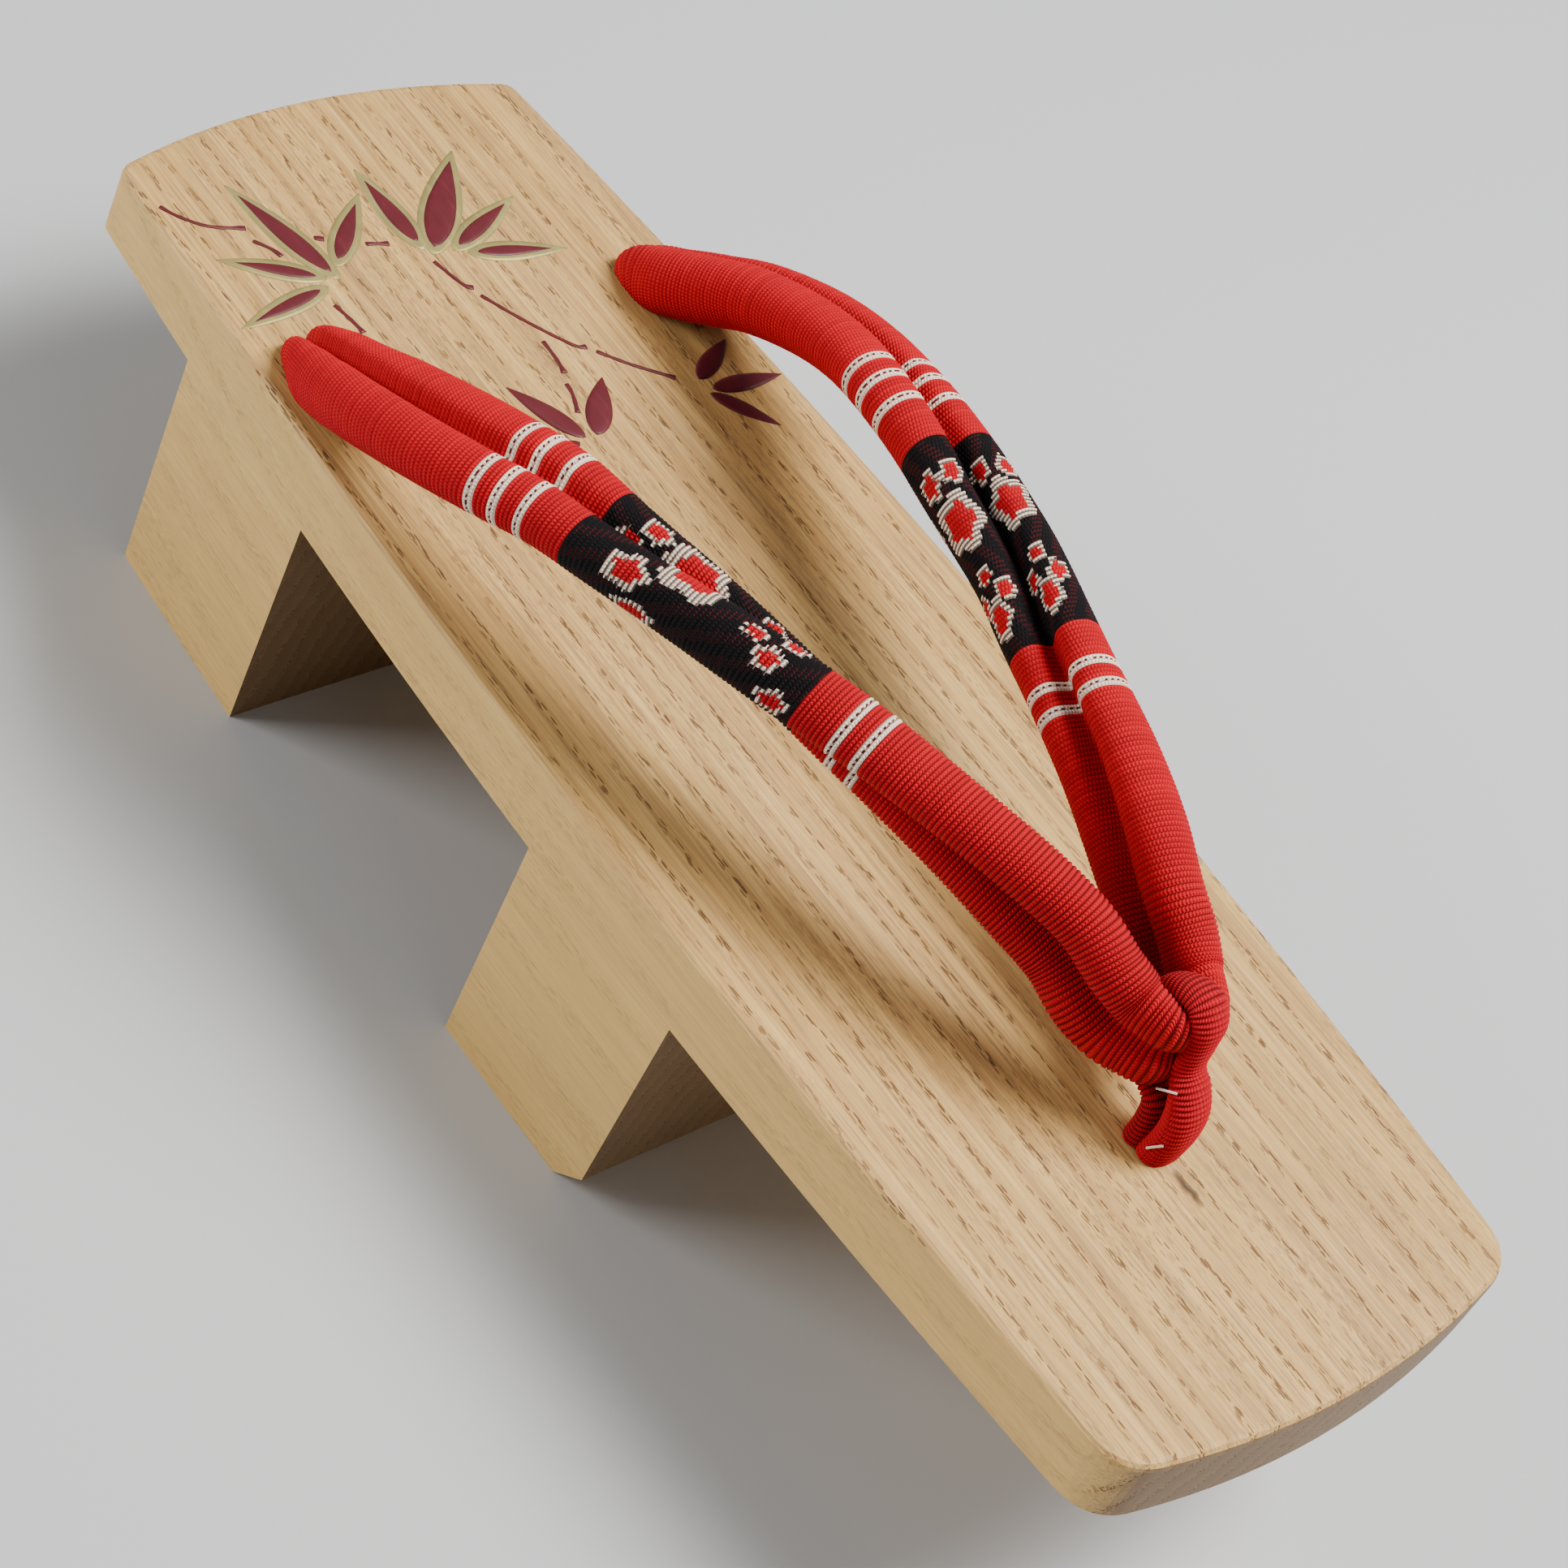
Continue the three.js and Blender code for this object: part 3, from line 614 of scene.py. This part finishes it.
def strap_arm(name, side, strap):
    """Two padded rolls side by side, covered with ribbed cloth."""
    places, sizes, turns = arm_curve(side)
    pitch = strap.rib_pitch / MM
    where, run = even_places(places, pitch / RIB_RINGS)
    centre = through(places, where)
    tangent = unit(np.gradient(centre, axis=0))
    width, thick, share = through(sizes, where).T
    roll = np.radians(through(turns, where)[:, 0])
    up = np.array([0.0, 0.0, 1.0])
    outward = unit(side * np.cross(tangent, up))
    upward = unit(up - tangent * tangent[:, 2:3])
    across = np.cos(roll)[:, None] * outward + np.sin(roll)[:, None] * upward
    level = np.cross(tangent, across)
    half = share * width
    ribs = run / pitch
    chance = random.Random(5 + (side > 0))
    rib_mood = np.array([chance.gauss(0, 1) for _ in range(int(ribs[-1]) + 2)])
    stand = (strap.rib_height / MM) * rib_rise(ribs) * (1 + MOOD_HEIGHT * rib_mood[ribs.astype(int)])
    outer, inner = (padded_roll(lobe, centre, across, level, half, width / 2 - half, thick / 2, stand)
                    for lobe in (1, -1))
    points, lap = (np.concatenate(both, axis=1) for both in zip(outer, inner))
    points[..., 2] = np.maximum(points[..., 2], DECK_TOP + STRAP_CLEARANCE)
    arm = skin(name, points)
    # one roll is walked from its upper groove and the other from its lower one, so that is turned round
    outer_starts_up = level[len(level) // 2, 2] < 0
    turned = slice(ROLL_COLUMNS, None) if outer_starts_up else slice(None, ROLL_COLUMNS)
    lap[:, turned] = lap[:, turned].max(axis=1, keepdims=True) - lap[:, turned]
    dye_and_shade(arm, side, strap, centre, ribs, lap, rib_mood)
    return arm


def rib_at(centre, ribs, y):
    """How many ribs lie behind a place along the sandal."""
    return float(np.interp(y, centre[:, 1], ribs))


def dye_and_shade(arm, side, strap, centre, ribs, lap, mood):
    """Weave colours, one for each face, with painted shade in the rib valleys and painted highlights on the
    crowns, and a map of how the cloth lies.
    """
    lag = -ARM_LAG if side > 0 else ARM_LAG
    rows, columns = lap.shape
    rib = np.floor(ribs[:-1] + 1e-6)[:, None]
    within = np.arange(rows - 1)[:, None] % RIB_RINGS
    lap_here = lap[:-1]
    red, black, cream = (np.array(c) for c in (strap.red, strap.black, strap.cream))
    shade = np.broadcast_to(red, (rows - 1, columns, 3)).copy()
    rear, front = MARKS["black"]
    start = math.floor(rib_at(centre, ribs, rear + GROUND_LAG[side] + lag))
    stop = math.floor(rib_at(centre, ribs, front + lag))
    everywhere = np.ones((1, columns), bool)
    inside = (rib >= start) & (rib < stop) & everywhere
    shade[inside] = black
    seam = inside & (within == RIB_RINGS - 1) & (np.sin(lap_here * 1.7 + rib * 0.6) > 0.1)
    shade[seam] = RED_UNDER_BLACK
    roll = np.arange(columns)[None, :] // ROLL_COLUMNS
    chart = blossom_chart(side, roll, rib - start, lap_here)
    shade[inside & (chart == 1)] = cream
    shade[inside & (chart == 2)] = red * 1.02
    # the last ring of each cream rib is a darkened copy of the cream: painted shade where the ribs part
    shaded_cream_gap = inside & (chart == 1) & (within == RIB_RINGS - 1)
    shade[shaded_cream_gap] = cream * 0.22
    dash = (np.floor(lap_here / DASH + rib) % 2) == 0
    for y in MARKS["rear_stripes"] + MARKS["front_stripes"]:
        first = round(rib_at(centre, ribs, y + lag)) - 1
        shade[((rib == first) | (rib == first + 1)) & everywhere] = cream
        between = ((rib == first) & (within == RIB_RINGS - 1)) | ((rib == first + 1) & (within == 0))
        shade[between & dash] = RED_UNDER_CREAM
    shade *= (1 + MOOD_SHADE * mood[rib.astype(int)])[..., None]
    # painted shade in each rib's valley and a painted highlight on its crown
    shade *= RIB_PAINTED_LIGHT[within][..., None]
    faces = np.ones((len(arm.data.polygons), 4))
    faces[:, :3] = red
    body = (rows - 1) * columns
    faces[:body, :3] = shade.reshape(-1, 3)
    colour_faces(arm, faces)
    spread(arm, np.repeat(ribs, columns), lap.ravel())


def colour_faces(obj, faces):
    corners = np.zeros(len(obj.data.polygons), int)
    obj.data.polygons.foreach_get("loop_total", corners)
    weave = obj.data.color_attributes.new("weave", "FLOAT_COLOR", "CORNER")
    weave.data.foreach_set("color", np.repeat(faces, corners, axis=0).ravel())
    obj.data.color_attributes.active_color = weave


def spread(obj, ribs, laps):
    """Store how the cloth lies as a map: the rib and the place round it, for each vertex but the ends'."""
    lie = np.zeros((len(obj.data.vertices), 2))
    lie[:len(ribs), 0], lie[:len(ribs), 1] = ribs, laps
    loops = np.zeros(len(obj.data.loops), int)
    obj.data.loops.foreach_get("vertex_index", loops)
    chart = obj.data.uv_layers.new(name="lie")
    chart.data.foreach_set("uv", lie[loops].astype(np.float32).ravel())


# ---- loop, cords, paint -----------------------------------------------------

def loop_band(loop):
    """The ribbed band from the front hole over the strap's bend and back into the hole."""
    pitch = loop.rib_pitch / MM
    places = [(0, y, DECK_TOP + rise) for y, rise, *_ in LOOP]
    where, run = even_places(places, pitch / RIB_RINGS)
    centre = through(places, where)
    tangent = unit(np.gradient(centre, axis=0))
    across, thick, bow = through([row[2:] for row in LOOP], where).T
    sideways = np.array([1.0, 0.0, 0.0])
    inward = np.cross(sideways, tangent)
    ribs = run / pitch
    stand = LOOP_RIB_HEIGHT * rib_rise(ribs)
    angle = np.linspace(0, 2 * np.pi, LOOP_COLUMNS, endpoint=False)
    cosine = np.cos(angle)[None, :]
    wide = (across[:, None] / 2 + stand[:, None]) * np.sign(cosine) * np.abs(cosine) ** 0.8
    deep = (thick[:, None] / 2 + stand[:, None]) * np.sin(angle)[None, :] + bow[:, None] * cosine ** 2
    rings = centre[:, None] + wide[..., None] * sideways + deep[..., None] * inward[:, None]
    rings[..., 2] = np.maximum(rings[..., 2], DECK_TOP + LOOP_CLEARANCE)
    band = skin("toe_loop_band", rings)
    faces = np.ones((len(band.data.polygons), 4))
    faces[:, :3] = tuple(loop.red)
    body = (len(ribs) - 1) * LOOP_COLUMNS
    within = np.arange(len(ribs) - 1) % RIB_RINGS
    # the loop's ribs get the same painted valley shade and crown highlight
    faces[:body, :3] *= np.repeat(RIB_PAINTED_LIGHT[within], LOOP_COLUMNS)[:, None]
    colour_faces(band, faces)
    spread(band, np.repeat(ribs, LOOP_COLUMNS), np.tile(np.arange(LOOP_COLUMNS) * 0.5, len(ribs)))
    return band


def cord_end(name, hole, knot):
    """Two laid strands from inside the pad to a tight knot under the deck."""
    hole, knot = (np.array((x, y, DECK_TOP + z)) for x, y, z in (hole, knot))
    along = unit(knot - hole)
    side = unit(np.cross(along, [0.2, 0.1, 1.0] if abs(along[2]) < 0.9 else [1.0, 0.0, 0.0]))
    third = np.cross(along, side)
    reach = np.linalg.norm(knot - hole)
    run = np.linspace(-CORD_LEAD, reach - 1.5, 90)
    parts = []
    for phase in (0, 1):
        angle = (run * STRAND_TWIST + phase * np.pi)[:, None]
        coil = np.cos(angle) * side + np.sin(angle) * third
        parts.append(rope(name, hole + run[:, None] * along + STRAND_OFFSET * coil, STRAND_RADIUS))
    t = np.linspace(0, 2 * np.pi, 121)[:, None]
    tied = ((np.sin(t) + 2 * np.sin(2 * t)) * side + (np.cos(t) - 2 * np.cos(2 * t)) * third
            - 1.5 * np.sin(3 * t) * along)
    parts.append(rope(name, knot + KNOT_SIZE * tied, KNOT_STRAND))
    return join_as(name, parts)


def stitch(name, points):
    return rope(name, through(points, np.linspace(0, 1, 24)), STITCH_RADIUS, 8)


def painted_leaf(name, base, tip, width, build, lift):
    """A domed lens of paint with a pointed tip."""
    base, tip = Vector(base), Vector(tip)
    reach = (tip - base).length
    clear_selection()
    bpy.ops.mesh.primitive_grid_add(x_subdivisions=22, y_subdivisions=6, size=2.0)
    leaf = bpy.context.object
    for vertex in leaf.data.vertices:
        along, across = (vertex.co.x + 1) / 2, vertex.co.y
        share = (math.sin(math.pi * along ** 0.72) ** 0.85) if 0 < along < 1 else 0.0
        share = max(share, 0.03)
        dome = (1 - across ** 2) ** 0.5 * min(1.0, share * 1.6)
        vertex.co = (along * reach * MM, across * share * width / 2 * MM, (0.25 + 0.75 * dome) * build)
    bpy.ops.object.mode_set(mode="EDIT")
    bpy.ops.mesh.select_all(action="SELECT")
    # the copy keeps the dome, and the points it was drawn from become the flat underside
    bpy.ops.mesh.extrude_region_move()
    bpy.ops.mesh.select_all(action="INVERT")
    bpy.ops.object.mode_set(mode="OBJECT")
    flatten_selected(leaf)
    angle = math.atan2(tip.y - base.y, tip.x - base.x)
    leaf.matrix_world = (Matrix.Translation((base.x * MM, base.y * MM, (DECK_TOP + lift) * MM))
                         @ Matrix.Rotation(angle, 4, "Z"))
    settle(leaf)
    close_up(leaf)
    leaf.name = leaf.data.name = name
    return leaf


def flatten_selected(obj):
    for vertex in obj.data.vertices:
        if vertex.select:
            vertex.co.z = 0.0


def close_up(obj):
    take_up(obj)
    bpy.ops.object.mode_set(mode="EDIT")
    bpy.ops.mesh.select_all(action="SELECT")
    bpy.ops.mesh.remove_doubles(threshold=1e-7)
    bpy.ops.mesh.normals_make_consistent(inside=False)
    bpy.ops.object.mode_set(mode="OBJECT")
    obj.data.shade_smooth()


def painted_stem(name, points, build):
    """A brushed line that swells at its ends, like the joints of a bamboo stem."""
    points = [(x, y, DECK_TOP) for x, y in points]
    where, run = even_places(points, 0.35)
    centre = through(points, where)
    along = unit(np.gradient(centre, axis=0))
    aside = np.stack([-along[:, 1], along[:, 0], np.zeros(len(along))], -1)
    swell = JOINT_SWELL * np.exp(-((run[-1] - run) / JOINT_LENGTH) ** 2)
    wide = STEM_HALF_WIDTH + swell + START_SWELL * np.exp(-(run / START_LENGTH) ** 2)
    wide *= 1 + 0.10 * np.sin(run * 2.3)
    angle = np.linspace(0, np.pi, 9)
    rows = centre[:, None] + aside[:, None] * (np.cos(angle) * wide[:, None])[..., None]
    rows[..., 2] = DECK_TOP + GOLD_LIFT + np.sin(angle) * build / MM * 0.9
    return skin(name, rows)


def facing(place, target):
    """The turn that points a light or a camera from its place at a target."""
    return (Vector(target) - Vector(place)).to_track_quat("-Z", "Y")


# ---- operators --------------------------------------------------------------

class GETA_OT_carve_block(bpy.types.Operator):
    """Give the carved block its open-grained wood"""
    bl_idname = "geta.carve_block"
    bl_label = "Carved Block"

    def execute(self, context):
        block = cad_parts["wooden_sole"]
        material = wood_finish(context.scene.geta_wood)
        if not block.material_slots:
            raise RuntimeError("the carved block has no material slot")
        for place in block.material_slots:
            place.material = material
        return {"FINISHED"}


class GETA_OT_paint_spray(bpy.types.Operator):
    """Paint the bamboo spray on the heel, gold under maroon"""
    bl_idname = "geta.paint_spray"
    bl_label = "Painted Spray"

    def execute(self, context):
        spray = context.scene.geta_spray
        maroon = paint_finish("maroon_paint", spray.maroon, 0.0, 0.42, 0.08)
        gold = paint_finish("gold_paint", spray.gold, 0.35, 0.38, 0.0)
        leaves, edging = [], []
        for bx, by, tx, ty, width, edged in LEAVES:
            base, tip = Vector((bx, by)), Vector((tx, ty))
            lift = PAINT_LIFT if edged else GOLD_LIFT
            leaves.append(painted_leaf("leaf", base, tip, width, spray.build, lift))
            if edged:
                line = (tip - base).normalized()
                edging.append(painted_leaf("edge", base - line * EDGE_BEHIND, tip + line * EDGE_AHEAD,
                                           width + EDGE_WIDER, spray.build * EDGE_BUILD, GOLD_LIFT))
        for points in STEMS:
            leaves.append(painted_stem("stem", points, spray.build))
        hand_over(join_as("painted_leaves", leaves), maroon, "wood")
        hand_over(join_as("leaf_edging", edging), gold, "wood")
        return {"FINISHED"}


class GETA_OT_sew_strap(bpy.types.Operator):
    """Sew the two padded arms of the strap"""
    bl_idname = "geta.sew_strap"
    bl_label = "Padded Strap"

    def execute(self, context):
        strap = context.scene.geta_strap
        cloth = cloth_finish("ribbed_strap_cloth")
        for name, side in (("strap_arm_right", 1), ("strap_arm_left", -1)):
            arm = strap_arm(name, side, strap)
            hand_over(arm, cloth, "strap_cloth", "thong_strap")
        return {"FINISHED"}


class GETA_OT_wrap_loop(bpy.types.Operator):
    """Wrap the toe loop over the strap and stitch it"""
    bl_idname = "geta.wrap_loop"
    bl_label = "Toe Loop"

    def execute(self, context):
        loop = context.scene.geta_loop
        band = loop_band(loop)
        hand_over(band, cloth_finish("ribbed_loop_cloth"), "loop_cloth", "toe_loop")
        thread = cotton_finish("sewing_thread", [min(1.0, c * 1.15) for c in loop.cotton])
        runs = [[(side * x, y, DECK_TOP + z) for x, y, z in run] for run in STITCHES for side in (1, -1)]
        hand_over(join_as("loop_stitches", [stitch("stitch", run) for run in runs]), thread, "loop_cloth")
        return {"FINISHED"}


class GETA_OT_tie_cords(bpy.types.Operator):
    """Pull the cord ends through the deck and knot them"""
    bl_idname = "geta.tie_cords"
    bl_label = "Knotted Cords"

    def execute(self, context):
        cotton = cotton_finish("cord_cotton", list(context.scene.geta_loop.cotton))
        for name, side in (("rear_cord_right", 1), ("rear_cord_left", -1)):
            hole, knot = ((side * x, y, z) for x, y, z in REAR_CORD)
            hand_over(cord_end(name, hole, knot), cotton, "strap_cloth", "thong_strap")
        hand_over(cord_end("front_cord", *FRONT_CORD), cotton, "loop_cloth", "toe_loop")
        return {"FINISHED"}


class GETA_OT_set_stage(bpy.types.Operator):
    """Lay the floor, hang the lights and set the camera"""
    bl_idname = "geta.set_stage"
    bl_label = "Studio"

    def execute(self, context):
        studio = context.scene.geta_studio
        clear_selection()
        bpy.ops.mesh.primitive_plane_add(size=8.0)
        floor = context.object
        floor.name = floor.data.name = "floor"
        floor.data.materials.append(floor_finish(list(studio.floor)))
        for name, place, size, share, tint in LIGHTS:
            bpy.ops.object.light_add(type="AREA", location=place)
            light = context.object
            light.name = light.data.name = name
            light.data.size, light.data.color = size, tint
            light.data.energy = studio.key_power * share
            light.rotation_euler = facing(place, LIGHT_AIM).to_euler()
        world = bpy.data.worlds.new("soft_room")
        world.use_nodes = True
        background = world.node_tree.nodes["Background"]
        background.inputs["Color"].default_value = ROOM_COLOUR
        background.inputs["Strength"].default_value = ROOM_STRENGTH
        context.scene.world = world
        bpy.ops.object.camera_add(location=CAMERA_PLACE)
        camera = context.object
        camera.name = camera.data.name = "camera"
        camera.data.lens = studio.lens
        look = facing(CAMERA_PLACE, CAMERA_TARGET).to_matrix().to_4x4()
        camera.matrix_world = Matrix.Translation(CAMERA_PLACE) @ look @ Matrix.Rotation(CAMERA_ROLL, 4, "Z")
        context.scene.camera = camera
        return {"FINISHED"}


class GETA_PT_sandal(bpy.types.Panel):
    """Steps and sizes of the sandal"""
    bl_label = "Geta Sandal"
    bl_idname = "GETA_PT_sandal"
    bl_space_type = "VIEW_3D"
    bl_region_type = "UI"
    bl_category = "Geta"

    def draw(self, context):
        for operator, group in STEPS:
            box = self.layout.box()
            box.operator(operator.bl_idname)
            settings = getattr(context.scene, group)
            for name in settings.__annotations__:
                box.prop(settings, name)


STEPS = (
    (GETA_OT_set_stage, "geta_studio"), (GETA_OT_carve_block, "geta_wood"),
    (GETA_OT_paint_spray, "geta_spray"), (GETA_OT_sew_strap, "geta_strap"),
    (GETA_OT_wrap_loop, "geta_loop"), (GETA_OT_tie_cords, "geta_loop"),
)
GROUPS = {"geta_wood": GetaWood, "geta_spray": GetaSpray, "geta_strap": GetaStrap,
          "geta_loop": GetaLoop, "geta_studio": GetaStudio}


def register():
    for name, group in GROUPS.items():
        bpy.utils.register_class(group)
        setattr(bpy.types.Scene, name, bpy.props.PointerProperty(type=group))
    for operator, _ in STEPS:
        bpy.utils.register_class(operator)
    bpy.utils.register_class(GETA_PT_sandal)


def unregister():
    bpy.utils.unregister_class(GETA_PT_sandal)
    for operator, _ in reversed(STEPS):
        bpy.utils.unregister_class(operator)
    for name, group in GROUPS.items():
        delattr(bpy.types.Scene, name)
        bpy.utils.unregister_class(group)


def main():
    register()
    bpy.ops.geta.set_stage()
    bpy.ops.geta.carve_block()
    bpy.ops.geta.paint_spray()
    bpy.ops.geta.sew_strap()
    bpy.ops.geta.wrap_loop()
    bpy.ops.geta.tie_cords()
    clear_selection()


if __name__ == "__main__":
    main()
